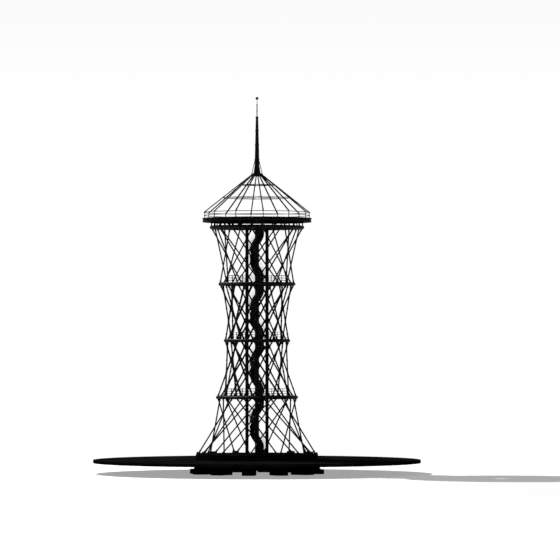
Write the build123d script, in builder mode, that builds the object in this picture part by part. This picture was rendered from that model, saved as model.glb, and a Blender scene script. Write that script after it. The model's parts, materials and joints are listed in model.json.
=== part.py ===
from build123d import *
import os
from math import atan, cos, degrees, radians, sin, tan

os.makedirs("parts", exist_ok=True)

# The plan repeats twelve times. A bay line runs through the middle of each bay.
bays = 12
bay_angle = 360 / bays

# Footings, raft, podium and plinth, from the ground up
footing_radius = 4531.0
footing_length = 1574.0
footing_width = 946.0
footing_height = 380.0
footing_turn = -7.5
raft_radius = 5009.0
raft_thickness = 495.0
podium_radius = 13018.0
podium_thickness = 250.0
plinth_radius = 4860.0
plinth_height = 450.0
podium_sides = 72
raft_sides = 48

# Two concentric lattice shells, measured at the centre lines of their bars and rings
tier_height = 4500.0
outer_radii = [4700.0, 3150.0, 2525.0, 2950.0, 3650.0]
shell_gap = 450.0
outer_hands = [(1,), (1, -1), (1, -1), (-1,)]
inner_hands = [(-1,), (1, -1), (1, -1), (1,)]
bar_width = 90.0
bar_twist = 60.0
foot_angle = 7.0
shoe_width = 280.0
shoe_height = 135.0
ring_width = 250.0
tie_width = 90.0

# Platforms inside the inner shell
floor_thickness = 100.0
floor_beam_width = 80.0
floor_beam_depth = 90.0
railing_radii = [2404.0, 1899.0, 2317.0]
railing_height = 560.0
railing_rails = 3
rail_width = 25.0
railing_post_width = 32.0
railing_turn = bay_angle / 2

# Core: four columns round a newel that carries the helical stair
column_radius = 795.0
column_width = 219.0
column_count = 4
stairwell_radius = 650.0
stairwell_sides = 24
newel_radius = 170.0
treads_per_tier = 36
tread_radius = 550.0
tread_thickness = 40.0
tread_nosing_width = 62.0
first_tread_angle = 35.0

# Top deck
deck_radius = 4268.0
deck_thickness = 100.0
deck_sides = 36
deck_rail_sides = 24
deck_beam_width = 60.0
deck_beam_depth = 266.0
deck_beam_inner = 750.0
deck_beam_outer = 3975.0
deck_post_width = 80.0
deck_post_height = 250.0
edge_web = 30.0
edge_depth = 316.0
edge_lip = 62.0
edge_top_lip = 76.0
edge_bottom_lip = 30.0
deck_rail_radius = 4190.0
deck_rail_height = 433.0
deck_rail_width = 40.0
deck_rail_post_width = 50.0
eaves_radius = 4222.0
eaves_width = 50.0

# Open roof cage
rib_width = 80.0
rib_angle = foot_angle
hub_radius = 453.0
hub_height = 207.0
cage_height = 2977.0
purlin_radii = [2751.0, 1455.0]
purlin_width = 40.0
tie_rod_width = 20.0
tie_plate_radius = 60.0

# Mast
mast_foot_radius = 202.0
mast_head_radius = 95.0
mast_height = 4527.0
strut_count = 6
strut_width = 50.0
strut_foot_radius = 413.0
strut_rise = 1011.0
rod_radius = 40.0
rod_height = 1011.0
tip_radius = 20.0
tip_height = 355.0
finial_radius = 119.0
finial_courses = 4

# Levels that follow from the sizes above
raft_level = footing_height
podium_level = raft_level + raft_thickness
plinth_level = podium_level + podium_thickness
foot_level = plinth_level + plinth_height
tiers = len(outer_radii) - 1
ring_corner = ring_width * (1 - tan(radians(22.5))) / 2
levels = [foot_level + tier * tier_height for tier in range(tiers + 1)]
inner_radii = [radius - shell_gap for radius in outer_radii]
floor_rise = ring_width / 2
tread_rise = tier_height / treads_per_tier
core_top = levels[-1] + floor_rise
deck_beam_level = levels[-1] + ring_width / 2 + deck_post_height
deck_level = deck_beam_level + deck_beam_depth + deck_thickness
eaves_level = deck_level + deck_rail_height + eaves_width / 2
hub_level = eaves_level + cage_height
hub_top = hub_level + hub_height / 2
mast_top = hub_top + mast_height
rod_top = mast_top + rod_height


def bay_point(radius, angle, level):
    return Vector(radius * cos(radians(angle)), radius * sin(radians(angle)), level)


def node_outline(radius, grow):
    """The node polygon of a shell, straight from bar foot to bar foot, moved out by grow."""
    corners = []
    for bay in range(bays):
        for side in (-1, 1):
            corner = bay_point(radius, bay * bay_angle + side * foot_angle, 0)
            corners.append((corner.X, corner.Y))
    with BuildSketch() as outline:
        with BuildLine():
            Polyline(*corners, close=True)
        make_face()
        offset(amount=grow, kind=Kind.INTERSECTION)
    return outline.sketch


def ring_tube(radius, level):
    """An eight-sided tube on the node polygon, with a flat top and bottom."""
    with BuildPart() as tube:
        with BuildSketch(Plane.XY.offset(level - ring_width / 2)):
            add(node_outline(radius, ring_width / 2))
            add(node_outline(radius, -ring_width / 2), mode=Mode.SUBTRACT)
        extrude(amount=ring_width)
        chamfer(tube.edges().filter_by(Plane.XY), length=ring_corner)
    return tube


def lattice_bar(radii, lead, tier, hand, bay):
    """One straight bar from ring to ring, leaning to the left or right by its hand."""
    turn = bay * bay_angle
    foot = bay_point(radii[tier], turn - hand * lead, levels[tier])
    head = bay_point(radii[tier + 1], turn + hand * (bar_twist - lead), levels[tier + 1])
    outward = bay_point(1, turn + hand * (bar_twist / 2 - lead), 0)
    along = (head - foot).normalized()
    with BuildPart() as bar:
        with BuildSketch(Plane(foot, x_dir=along.cross(outward), z_dir=along)):
            Rectangle(bar_width, bar_width)
        extrude(amount=(head - foot).length)
    return bar.part


def lattice_tier(radii, lead, tier, hands, rings):
    """Twelve bars of one hand, or twelve panels that meet face to face, in which the bars of both hands are fused where they cross. All are coped to the rings."""
    crossed = len(hands) > 1
    with BuildPart() as panel:
        for hand in hands:
            for bay in range(round(bar_twist / bay_angle) + 1 if crossed else 1):
                add(lattice_bar(radii, lead, tier, hand, -hand * bay))
        for side in (1, -1) if crossed else ():
            edge = bay_point(1, side * bay_angle / 2, 0)
            split(bisect_by=Plane((0, 0, 0), z_dir=Vector(-edge.Y, edge.X, 0) * side), keep=Keep.BOTTOM)
        if tier == 0:
            split(bisect_by=Plane.XY.offset(foot_level + shoe_height), keep=Keep.TOP)
        for ring in rings:
            add(ring.part, mode=Mode.SUBTRACT)
    return Compound(children=[panel.part.rotate(Axis.Z, bay * bay_angle) for bay in range(bays)])


def polygon_ring(radius, sides, width, level, turn):
    """A square bar bent to a polygon, whose corners lie at radius on its centre line."""
    with BuildPart() as bar:
        with BuildSketch(Plane.XY.offset(level - width / 2)):
            RegularPolygon(radius + width / 2, sides, rotation=turn)
            RegularPolygon(radius - width / 2, sides, rotation=turn, mode=Mode.SUBTRACT)
        extrude(amount=width)
    return bar.part


def rail_face(radius, sides, width):
    """Distance from the axis to the middle of the flat outer face of such a ring."""
    return (radius + width / 2) * cos(radians(180 / sides))


# Twelve radial footings
with BuildPart() as footings:
    with BuildSketch():
        with PolarLocations(footing_radius, bays, start_angle=footing_turn):
            Rectangle(footing_length, footing_width)
    extrude(amount=footing_height)
footings.part.label = "footings"
export_step(footings.part, "parts/footings.step")

# The raft joins the footings and carries the podium
with BuildPart() as raft:
    with BuildSketch(Plane.XY.offset(raft_level)):
        RegularPolygon(raft_radius, raft_sides)
    extrude(amount=raft_thickness)
raft.part.label = "foundation_raft"
export_step(raft.part, "parts/foundation_raft.step")

with BuildPart() as podium:
    with BuildSketch(Plane.XY.offset(podium_level)):
        RegularPolygon(podium_radius, podium_sides)
    extrude(amount=podium_thickness)
podium.part.label = "podium_slab"
export_step(podium.part, "parts/podium_slab.step")

with BuildPart() as plinth:
    with BuildSketch(Plane.XY.offset(plinth_level)):
        RegularPolygon(plinth_radius, raft_sides)
    extrude(amount=plinth_height)
plinth.part.label = "plinth"
export_step(plinth.part, "parts/plinth.step")

# One cast shoe under each bar of both shells
with BuildPart() as shoes:
    with BuildSketch(Plane.XY.offset(foot_level)):
        for radius in (outer_radii[0], inner_radii[0]):
            with PolarLocations(radius, bays, start_angle=-foot_angle):
                Rectangle(shoe_width, shoe_width)
    extrude(amount=shoe_height)
shoes.part.label = "bar_shoes"
export_step(shoes.part, "parts/bar_shoes.step")

# Rings and lattice tiers of both shells
for shell, radii, lead, hands in (
    ("outer", outer_radii, foot_angle, outer_hands),
    ("inner", inner_radii, -foot_angle, inner_hands),
):
    rings = [ring_tube(radii[tier], levels[tier]) for tier in range(1, tiers + 1)]
    for tier in range(tiers):
        ring = rings[tier]
        ring.part.label = f"{shell}_ring_{tier + 1}"
        export_step(ring.part, f"parts/{ring.part.label}.step")
        lattice = lattice_tier(radii, lead, tier, hands[tier], rings[max(tier - 1, 0) : tier + 1])
        lattice.label = f"{shell}_lattice_{tier + 1}"
        export_step(lattice, f"parts/{lattice.label}.step")

# Short ties hold the two rings of a level together, one in the middle of each short run
with BuildPart() as ring_ties:
    for tier in range(1, tiers + 1):
        run = cos(radians(foot_angle))
        tie_inner = inner_radii[tier] * run + ring_width / 2
        tie_outer = outer_radii[tier] * run - ring_width / 2
        with BuildSketch(Plane.XY.offset(levels[tier] - tie_width / 2)):
            with PolarLocations((tie_inner + tie_outer) / 2, bays):
                Rectangle(tie_outer - tie_inner, tie_width)
        extrude(amount=tie_width)
ring_ties.part.label = "ring_ties"
export_step(ring_ties.part, "parts/ring_ties.step")

# Platform floors fill the inner ring and pass round the columns and the stairwell
for tier in range(1, tiers + 1):
    with BuildPart() as platform:
        with BuildSketch(Plane.XY.offset(levels[tier] + floor_rise - floor_thickness)):
            add(node_outline(inner_radii[tier], -ring_width / 2))
            RegularPolygon(stairwell_radius, stairwell_sides, mode=Mode.SUBTRACT)
            with PolarLocations(column_radius, column_count):
                Rectangle(column_width, column_width, mode=Mode.SUBTRACT)
        extrude(amount=floor_thickness)
    platform.part.label = f"platform_floor_{tier}"
    export_step(platform.part, f"parts/{platform.part.label}.step")

# Radial beams under the floors, from the columns' faces to the inner ring
with BuildPart() as floor_beams:
    for tier in range(1, tiers + 1):
        beam_inner = column_radius + column_width / 2
        beam_outer = inner_radii[tier] * cos(radians(foot_angle)) - ring_width / 2
        with BuildSketch(Plane.XY.offset(levels[tier] + floor_rise - floor_thickness)):
            with PolarLocations((beam_inner + beam_outer) / 2, bays):
                Rectangle(beam_outer - beam_inner, floor_beam_width)
        extrude(amount=-floor_beam_depth)
floor_beams.part.label = "floor_beams"
export_step(floor_beams.part, "parts/floor_beams.step")

# Guard railings on the three open platforms: twelve-sided rails, with posts at the middle of each side
with BuildPart() as railing_posts:
    for tier, railing_radius in enumerate(railing_radii, start=1):
        post_radius = rail_face(railing_radius, bays, rail_width) + railing_post_width / 2
        with BuildSketch(Plane.XY.offset(levels[tier] + floor_rise)):
            with PolarLocations(post_radius, bays):
                Rectangle(railing_post_width, railing_post_width)
        extrude(amount=railing_height)
railing_posts.part.label = "railing_posts"
export_step(railing_posts.part, "parts/railing_posts.step")

for tier, railing_radius in enumerate(railing_radii, start=1):
    with BuildPart() as railing:
        for rail in range(1, railing_rails + 1):
            rail_level = levels[tier] + floor_rise + railing_height * rail / railing_rails - rail_width / 2
            add(polygon_ring(railing_radius, bays, rail_width, rail_level, railing_turn))
    railing.part.label = f"platform_railing_{tier}"
    export_step(railing.part, f"parts/{railing.part.label}.step")

# Core columns and newel
with BuildPart() as columns:
    with BuildSketch(Plane.XY.offset(foot_level)):
        with PolarLocations(column_radius, column_count):
            Rectangle(column_width, column_width)
    extrude(amount=core_top - foot_level)
columns.part.label = "core_columns"
export_step(columns.part, "parts/core_columns.step")

with BuildPart() as newel:
    with BuildSketch(Plane.XY.offset(foot_level)):
        RegularPolygon(newel_radius, treads_per_tier)
    extrude(amount=core_top - foot_level)
newel.part.label = "newel"
export_step(newel.part, "parts/newel.step")

# Stair treads, one on each face of the newel in turn, narrow at the newel and wide at the string
newel_face = newel_radius * cos(radians(180 / treads_per_tier))
newel_face_width = 2 * newel_radius * sin(radians(180 / treads_per_tier))
tread_width = 2 * tread_radius * sin(radians(180 / treads_per_tier)) + tread_nosing_width / 2
for tier in range(tiers):
    with BuildPart() as flight:
        for step in range(treads_per_tier):
            tread_top = levels[tier] + (step + 1) * tread_rise
            turn = first_tread_angle - step * 360 / treads_per_tier
            tread_plane = Plane.XY.offset(tread_top - tread_thickness).rotated((0, 0, turn))
            with BuildSketch(tread_plane):
                with BuildLine():
                    Polyline(
                        (newel_face, -newel_face_width / 2),
                        (tread_radius, -tread_width / 2),
                        (tread_radius, tread_width / 2),
                        (newel_face, newel_face_width / 2),
                        close=True,
                    )
                make_face()
            extrude(amount=tread_thickness)
    flight.part.label = f"stair_flight_{tier + 1}"
    export_step(flight.part, f"parts/{flight.part.label}.step")

# Top deck on short posts over both top rings
with BuildPart() as deck_posts:
    with BuildSketch(Plane.XY.offset(levels[-1] + ring_width / 2)):
        for radius in (outer_radii[-1], inner_radii[-1]):
            for side in (-1, 1):
                with PolarLocations(radius, bays, start_angle=side * foot_angle):
                    Rectangle(deck_post_width, deck_post_width)
    extrude(amount=deck_post_height)
deck_posts.part.label = "deck_posts"
export_step(deck_posts.part, "parts/deck_posts.step")

with BuildPart() as deck_beams:
    with BuildSketch(Plane.XY.offset(deck_beam_level)):
        for side in (-1, 1):
            with PolarLocations((deck_beam_inner + deck_beam_outer) / 2, bays, start_angle=side * foot_angle):
                Rectangle(deck_beam_outer - deck_beam_inner, deck_beam_width)
    extrude(amount=deck_beam_depth)
deck_beams.part.label = "deck_beams"
export_step(deck_beams.part, "parts/deck_beams.step")

with BuildPart() as deck_floor:
    with BuildSketch(Plane.XY.offset(deck_level - deck_thickness)):
        RegularPolygon(deck_radius, deck_sides)
        RegularPolygon(stairwell_radius, stairwell_sides, mode=Mode.SUBTRACT)
    extrude(amount=deck_thickness)
deck_floor.part.label = "deck_floor"
export_step(deck_floor.part, "parts/deck_floor.step")

# The deck's edge is a channel that opens outwards
with BuildPart() as deck_edge:
    for reach, low, high in (
        (edge_web, 0, edge_depth),
        (edge_web + edge_lip, edge_depth - edge_top_lip, edge_depth),
        (edge_web + edge_lip, 0, edge_bottom_lip),
    ):
        with BuildSketch(Plane.XY.offset(deck_level - edge_depth + low)):
            RegularPolygon(deck_radius + reach, deck_sides)
            RegularPolygon(deck_radius, deck_sides, mode=Mode.SUBTRACT)
        extrude(amount=high - low)
deck_edge.part.label = "deck_edge"
export_step(deck_edge.part, "parts/deck_edge.step")

# Deck railing: posts under the eaves ring, which is their top rail, and a middle rail inside them
deck_rail_turn = rib_angle + 180 / deck_rail_sides
with BuildPart() as deck_rail_posts:
    post_radius = rail_face(deck_rail_radius, deck_rail_sides, deck_rail_width) + deck_rail_post_width / 2
    with BuildSketch(Plane.XY.offset(deck_level)):
        with PolarLocations(post_radius, bays, start_angle=rib_angle):
            Rectangle(deck_rail_post_width, deck_rail_post_width)
    extrude(amount=deck_rail_height)
deck_rail_posts.part.label = "deck_railing_posts"
export_step(deck_rail_posts.part, "parts/deck_railing_posts.step")

with BuildPart() as deck_rail:
    middle_level = deck_level + deck_rail_height / 2
    add(polygon_ring(deck_rail_radius, deck_rail_sides, deck_rail_width, middle_level, deck_rail_turn))
deck_rail.part.label = "deck_middle_rail"
export_step(deck_rail.part, "parts/deck_middle_rail.step")

with BuildPart() as eaves_ring:
    add(polygon_ring(eaves_radius, deck_rail_sides, eaves_width, eaves_level, deck_rail_turn))
eaves_ring.part.label = "eaves_ring"
export_step(eaves_ring.part, "parts/eaves_ring.step")

mast_turn = rib_angle + bay_angle / 2

# Straight ribs rise from the eaves ring to the hub
rib_pitch = atan(cage_height / (eaves_radius - hub_radius))
rib_cover = rib_width / 2 / cos(rib_pitch)
rib_reach = rib_width / 2 / sin(rib_pitch)
rib_foot_level = eaves_level + eaves_width / 2
rib_foot_radius = eaves_radius - (rib_foot_level - eaves_level) / tan(rib_pitch)
with BuildPart() as ribs:
    with BuildSketch(Plane.XZ, mode=Mode.PRIVATE) as rib_side:
        with BuildLine():
            Polyline(
                (rib_foot_radius + rib_reach, rib_foot_level),
                (hub_radius, hub_level + rib_cover),
                (hub_radius, hub_level - rib_cover),
                (rib_foot_radius - rib_reach, rib_foot_level),
                close=True,
            )
        make_face()
    rib = extrude(rib_side.sketch, amount=rib_width / 2, both=True, mode=Mode.PRIVATE)
    with PolarLocations(0, bays, start_angle=rib_angle):
        add(rib)
ribs.part.label = "roof_ribs"
export_step(ribs.part, "parts/roof_ribs.step")

# Purlins butt against the ribs' sides at two heights
with BuildPart() as purlins:
    for radius in purlin_radii:
        purlin_level = eaves_level + (eaves_radius - radius) * tan(rib_pitch)
        middle = radius * cos(radians(bay_angle / 2))
        ends = []
        for face in (middle - purlin_width / 2, middle + purlin_width / 2):
            half = face * tan(radians(bay_angle / 2)) - rib_width / 2 / cos(radians(bay_angle / 2))
            ends.append((face, half))
        (inner_face, inner_half), (outer_face, outer_half) = ends
        with BuildSketch(Plane.XY.offset(purlin_level - purlin_width / 2), mode=Mode.PRIVATE) as plan:
            with BuildLine():
                Polyline(
                    (inner_face, -inner_half),
                    (outer_face, -outer_half),
                    (outer_face, outer_half),
                    (inner_face, inner_half),
                    close=True,
                )
            make_face()
        purlin = extrude(plan.sketch, amount=purlin_width, mode=Mode.PRIVATE)
        with PolarLocations(0, bays, start_angle=rib_angle + bay_angle / 2):
            add(purlin)
purlins.part.label = "roof_purlins"
export_step(purlins.part, "parts/roof_purlins.step")

# Level tie rods run from the ribs' undersides to the flats of a small plate on the axis
tie_levels = [eaves_level + (eaves_radius - radius) * tan(rib_pitch) for radius in purlin_radii]
with BuildPart() as tie_rods:
    for radius, tie_level in zip(purlin_radii, tie_levels):
        seat = radius - rib_reach
        slope = tie_rod_width / 2 / tan(rib_pitch)
        with BuildSketch(Plane.XZ, mode=Mode.PRIVATE) as rod_side:
            with BuildLine():
                Polyline(
                    (tie_plate_radius, tie_level - tie_rod_width / 2),
                    (seat + slope, tie_level - tie_rod_width / 2),
                    (seat - slope, tie_level + tie_rod_width / 2),
                    (tie_plate_radius, tie_level + tie_rod_width / 2),
                    close=True,
                )
            make_face()
        rod = extrude(rod_side.sketch, amount=tie_rod_width / 2, both=True, mode=Mode.PRIVATE)
        with PolarLocations(0, bays, start_angle=rib_angle):
            add(rod)
with BuildPart() as tie_plates:
    for tie_level in tie_levels:
        with BuildSketch(Plane.XY.offset(tie_level - tie_rod_width / 2)):
            RegularPolygon(tie_plate_radius, bays, major_radius=False, rotation=rib_angle + bay_angle / 2)
        extrude(amount=tie_rod_width)
tie_set = Compound(label="roof_tie_rods", children=[tie_rods.part, tie_plates.part])
export_step(tie_set, "parts/roof_tie_rods.step")

with BuildPart() as hub:
    with BuildSketch(Plane.XY.offset(hub_level - hub_height / 2)):
        RegularPolygon(hub_radius, bays, major_radius=False, rotation=mast_turn)
    extrude(amount=hub_height)
hub.part.label = "roof_hub"
export_step(hub.part, "parts/roof_hub.step")

# Tapered twelve-sided mast, with raking struts that bear on its flats
with BuildPart() as mast:
    with BuildSketch(Plane.XY.offset(hub_top)):
        RegularPolygon(mast_foot_radius, bays, major_radius=False, rotation=mast_turn)
    extrude(amount=mast_height, taper=degrees(atan((mast_foot_radius - mast_head_radius) / mast_height)))
mast.part.label = "mast"
export_step(mast.part, "parts/mast.step")

mast_taper = (mast_foot_radius - mast_head_radius) / mast_height
strut_lean = (strut_foot_radius - mast_foot_radius + mast_taper * strut_rise) / strut_rise
with BuildPart() as struts:
    with BuildSketch(Plane.XZ, mode=Mode.PRIVATE) as strut_side:
        heads = []
        for edge in (-strut_width / 2, strut_width / 2):
            rise = (strut_foot_radius + edge - mast_foot_radius) / (strut_lean - mast_taper)
            heads.append((mast_foot_radius - mast_taper * rise, hub_top + rise))
        with BuildLine():
            Polyline(
                (strut_foot_radius - strut_width / 2, hub_top),
                (strut_foot_radius + strut_width / 2, hub_top),
                heads[1],
                heads[0],
                close=True,
            )
        make_face()
    strut = extrude(strut_side.sketch, amount=strut_width / 2, both=True, mode=Mode.PRIVATE)
    with PolarLocations(0, strut_count, start_angle=rib_angle):
        add(strut)
struts.part.label = "mast_struts"
export_step(struts.part, "parts/mast_struts.step")

# Stepped rod above the mast
with BuildPart() as mast_rod:
    with BuildSketch(Plane.XY.offset(mast_top)):
        RegularPolygon(rod_radius, bays, rotation=mast_turn)
    extrude(amount=rod_height)
    with BuildSketch(Plane.XY.offset(rod_top)):
        RegularPolygon(tip_radius, bays, rotation=mast_turn)
    extrude(amount=tip_height)
mast_rod.part.label = "mast_rod"
export_step(mast_rod.part, "parts/mast_rod.step")

# Ball finial: twelve gores in level courses above and below its girth, with a flat seat on the rod
with BuildPart() as finial:
    course_angle = 90 / finial_courses
    girth_level = rod_top + tip_height + finial_radius * sin(radians(90 - course_angle))
    for course in range(finial_courses - 1):
        low = radians(course * course_angle)
        high = radians((course + 1) * course_angle)
        course_height = finial_radius * (sin(high) - sin(low))
        taper = degrees(atan((cos(low) - cos(high)) / (sin(high) - sin(low))))
        for side in (-1, 1):
            with BuildSketch(Plane.XY.offset(girth_level + side * finial_radius * sin(low))):
                RegularPolygon(finial_radius * cos(low), bays, major_radius=False, rotation=mast_turn)
            extrude(amount=side * course_height, taper=taper)
finial.part.label = "finial"
export_step(finial.part, "parts/finial.step")
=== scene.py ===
import json
import math

import bmesh
import bpy
from mathutils import Matrix, Vector


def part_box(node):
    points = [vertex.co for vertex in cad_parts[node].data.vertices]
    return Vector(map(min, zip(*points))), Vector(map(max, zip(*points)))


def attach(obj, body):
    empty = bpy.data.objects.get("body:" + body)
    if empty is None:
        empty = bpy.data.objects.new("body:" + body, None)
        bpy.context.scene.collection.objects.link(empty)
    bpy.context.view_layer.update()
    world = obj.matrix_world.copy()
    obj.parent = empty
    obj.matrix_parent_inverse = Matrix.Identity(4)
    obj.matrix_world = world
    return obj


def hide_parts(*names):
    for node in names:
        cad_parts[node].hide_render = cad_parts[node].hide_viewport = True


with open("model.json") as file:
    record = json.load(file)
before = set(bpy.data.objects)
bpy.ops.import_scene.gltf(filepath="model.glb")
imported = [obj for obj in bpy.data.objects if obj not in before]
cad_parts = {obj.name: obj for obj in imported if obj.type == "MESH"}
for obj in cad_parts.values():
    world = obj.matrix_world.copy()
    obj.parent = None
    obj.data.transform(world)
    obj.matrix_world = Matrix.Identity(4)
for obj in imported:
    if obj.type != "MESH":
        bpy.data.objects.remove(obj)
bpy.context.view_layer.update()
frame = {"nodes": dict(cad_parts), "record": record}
nodes = frame["nodes"]
slotOf = {row["node"]: row["material_slot"] for row in frame["record"]["subparts"]}
print("frame loaded:", len(nodes), "nodes")

# Lengths are in metres and angles in degrees. Both lattice shells have a twelve-fold plan.
# A shell has one radius at its foot and one at each of its four rings.
tower = {
    "bays": 12,
    "tiers": 4,
    "tierHeight": 4.5,
    "footAngle": 7.0,
    "twist": 60.0,
    "outer": (4.70, 3.15, 2.525, 2.95, 3.65),
    "inner": (4.25, 2.70, 2.075, 2.50, 3.20),
}
shells = ("outer", "inner")
bays = tower["bays"]
bayAngle = 360.0 / bays
halfBay = bayAngle / 2
footAngle = tower["footAngle"]
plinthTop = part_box("plinth")[1].z
levels = [plinthTop + tower["tierHeight"] * tier for tier in range(tower["tiers"] + 1)]
steel, concrete, railing = "black_painted_steel", "dark_concrete", "black_rail_steel"
stairs, decking = "black_stair_steel", "black_deck_plate"


def join(tree, source, outlet, target, inlet):
    tree.links.new(source.outputs[outlet], target.inputs[inlet])


def setInputs(node, values):
    for name, value in values.items():
        node.inputs[name].default_value = value


def ramp(tree, source, outlet, fromLow, fromHigh, low, high, blend="LINEAR"):
    span = tree.nodes.new("ShaderNodeMapRange")
    span.interpolation_type = blend
    setInputs(span, {"From Min": fromLow, "From Max": fromHigh, "To Min": low, "To Max": high})
    join(tree, source, outlet, span, "Value")
    return span


# The photograph is a long shot, almost without perspective
longShot = {
    "lens": 250.8,
    "sensor": 36.0,
    "eye": (1.83, -310.2, 9.75),
    "aim": (1.83, 0.0, 15.4),
    "clipEnd": 3000.0,
}


def placeCamera():
    camera = bpy.data.cameras.new("longShot")
    camera.lens = longShot["lens"]
    camera.sensor_width = longShot["sensor"]
    camera.clip_end = longShot["clipEnd"]
    holder = bpy.data.objects.new("longShot", camera)
    holder.location = longShot["eye"]
    direction = Vector(longShot["aim"]) - Vector(longShot["eye"])
    holder.rotation_euler = direction.to_track_quat("-Z", "Y").to_euler()
    bpy.context.scene.collection.objects.link(holder)
    bpy.context.scene.camera = holder


sky = {"seen": 1.0, "zenith": 0.955, "low": 0.065, "high": 0.090, "mirrored": 0.25, "ambient": 0.25}


# White to the camera, a little greyer higher up, and dimmer as a light
def paintSky():
    world = bpy.data.worlds.new("paleSky")
    bpy.context.scene.world = world
    world.use_nodes = True
    tree = world.node_tree
    background = tree.nodes["Background"]
    background.inputs["Color"].default_value = (1, 1, 1, 1)
    rays = tree.nodes.new("ShaderNodeLightPath")
    dim = tree.nodes.new("ShaderNodeMix")
    setInputs(dim, {"A": sky["ambient"], "B": sky["mirrored"]})
    seen = tree.nodes.new("ShaderNodeMix")
    place = tree.nodes.new("ShaderNodeTexCoord")
    split = tree.nodes.new("ShaderNodeSeparateXYZ")
    join(tree, place, "Generated", split, 0)
    shade = ramp(tree, split, "Z", sky["low"], sky["high"], sky["seen"], sky["zenith"])
    join(tree, shade, "Result", seen, "B")
    join(tree, rays, "Is Glossy Ray", dim, "Factor")
    join(tree, dim, "Result", seen, "A")
    join(tree, rays, "Is Camera Ray", seen, "Factor")
    join(tree, seen, "Result", background, "Strength")


studioFloor = {
    "half": 900.0,
    "glowNear": 0.355,
    "glowFar": 1.0,
    "nearEdge": 28.0,
    "farEdge": 55.0,
    "seenColour": 0.25,
    "colour": 0.17,
}


# Near the tower the floor shows its shadow, and far off it is as white as the sky
def layFloor():
    facts = studioFloor
    half = facts["half"]
    mesh = bpy.data.meshes.new("studioFloor")
    corners = [(-half, -half, 0), (half, -half, 0), (half, half, 0), (-half, half, 0)]
    mesh.from_pydata(corners, [], [(0, 1, 2, 3)])
    floor = bpy.data.objects.new("studioFloor", mesh)
    bpy.context.scene.collection.objects.link(floor)
    material = bpy.data.materials.new("paleFloor")
    material.use_nodes = True
    tree = material.node_tree
    tree.nodes.clear()
    out = tree.nodes.new("ShaderNodeOutputMaterial")
    rays = tree.nodes.new("ShaderNodeLightPath")
    place = tree.nodes.new("ShaderNodeTexCoord")
    reach = tree.nodes.new("ShaderNodeVectorMath")
    reach.operation = "LENGTH"
    join(tree, place, "Object", reach, 0)
    near, far = facts["nearEdge"], facts["farEdge"]
    rise = ramp(tree, reach, "Value", near, far, facts["glowNear"], facts["glowFar"], "SMOOTHSTEP")
    fade = ramp(tree, reach, "Value", near, far, facts["seenColour"], 0.0, "SMOOTHSTEP")
    glow = tree.nodes.new("ShaderNodeEmission")
    lit = tree.nodes.new("ShaderNodeBsdfDiffuse")
    pale = tree.nodes.new("ShaderNodeBsdfDiffuse")
    pale.inputs["Color"].default_value = (facts["colour"], facts["colour"], facts["colour"], 1)
    seen = tree.nodes.new("ShaderNodeAddShader")
    both = tree.nodes.new("ShaderNodeMixShader")
    join(tree, fade, "Result", lit, "Color")
    join(tree, rise, "Result", glow, "Strength")
    join(tree, glow, 0, seen, 0)
    join(tree, lit, 0, seen, 1)
    join(tree, rays, "Is Camera Ray", both, 0)
    join(tree, pale, 0, both, 1)
    join(tree, seen, 0, both, 2)
    join(tree, both, 0, out, "Surface")
    mesh.materials.append(material)
    return floor


lamps = {"place": (-25.5, 16.0, 47.0), "size": 0.25, "towerPower": 54.0, "floorPower": 156.0}


# The light doesn't fade with distance. A lamp lights the pieces in lit, or everything but those in unlit.
def hangLamp(name, power, lit, unlit):
    lamp = bpy.data.lights.new(name, "POINT")
    lamp.energy = 1.0
    lamp.shadow_soft_size = lamps["size"]
    lamp.use_nodes = True
    tree = lamp.node_tree
    falloff = tree.nodes.new("ShaderNodeLightFalloff")
    falloff.inputs["Strength"].default_value = power
    join(tree, falloff, "Constant", tree.nodes["Emission"], "Strength")
    holder = bpy.data.objects.new(name, lamp)
    holder.location = lamps["place"]
    bpy.context.scene.collection.objects.link(holder)
    receivers = bpy.data.collections.new(name + "Receivers")
    for piece in lit + unlit:
        receivers.objects.link(piece)
    for link in list(receivers.collection_objects)[len(lit):]:
        link.light_linking.link_state = "EXCLUDE"
    holder.light_linking.receiver_collection = receivers


placeCamera()
paintSky()
floor = layFloor()
hangLamp("backLamp", lamps["towerPower"], [], [floor])
hangLamp("floorLamp", lamps["floorPower"], [floor], [])
bpy.context.scene.view_settings.view_transform = "Standard"
print("camera, sky, floor and lamps are in place")


# Material helpers
def newPaint(name, finish):
    material = bpy.data.materials.new(name)
    material.use_nodes = True
    tree = material.node_tree
    shader = tree.nodes["Principled BSDF"]
    shader.inputs["Specular IOR Level"].default_value = finish["specular"]
    return material, tree, shader, tree.nodes.new("ShaderNodeTexCoord")


def cloud(tree, place, scale, detail=5.0):
    noise = tree.nodes.new("ShaderNodeTexNoise")
    setInputs(noise, {"Scale": scale, "Detail": detail})
    join(tree, place, "Object", noise, "Vector")
    return noise


# A span is the stretch of the noise over which the paint goes from one value to the other
def mottle(tree, shader, noise, finish):
    shade = ramp(tree, noise, "Fac", *finish["tintSpan"], 0.0, 1.0)
    mix = tree.nodes.new("ShaderNodeMix")
    mix.data_type = "RGBA"
    mix.inputs[6].default_value = (*finish["dark"], 1)
    mix.inputs[7].default_value = (*finish["light"], 1)
    join(tree, shade, "Result", mix, 0)
    join(tree, mix, 2, shader, "Base Color")


def roughen(tree, shader, noise, finish):
    rough = ramp(tree, noise, "Fac", *finish["roughSpan"], *finish["roughness"])
    join(tree, rough, "Result", shader, "Roughness")


def combine(tree, operation, first, second=0.0):
    node = tree.nodes.new("ShaderNodeMath")
    node.operation = operation
    for inlet, value in enumerate((first, second)):
        if isinstance(value, (int, float)):
            node.inputs[inlet].default_value = value
        else:
            tree.links.new(value, node.inputs[inlet])
    return node.outputs[0]


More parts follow.
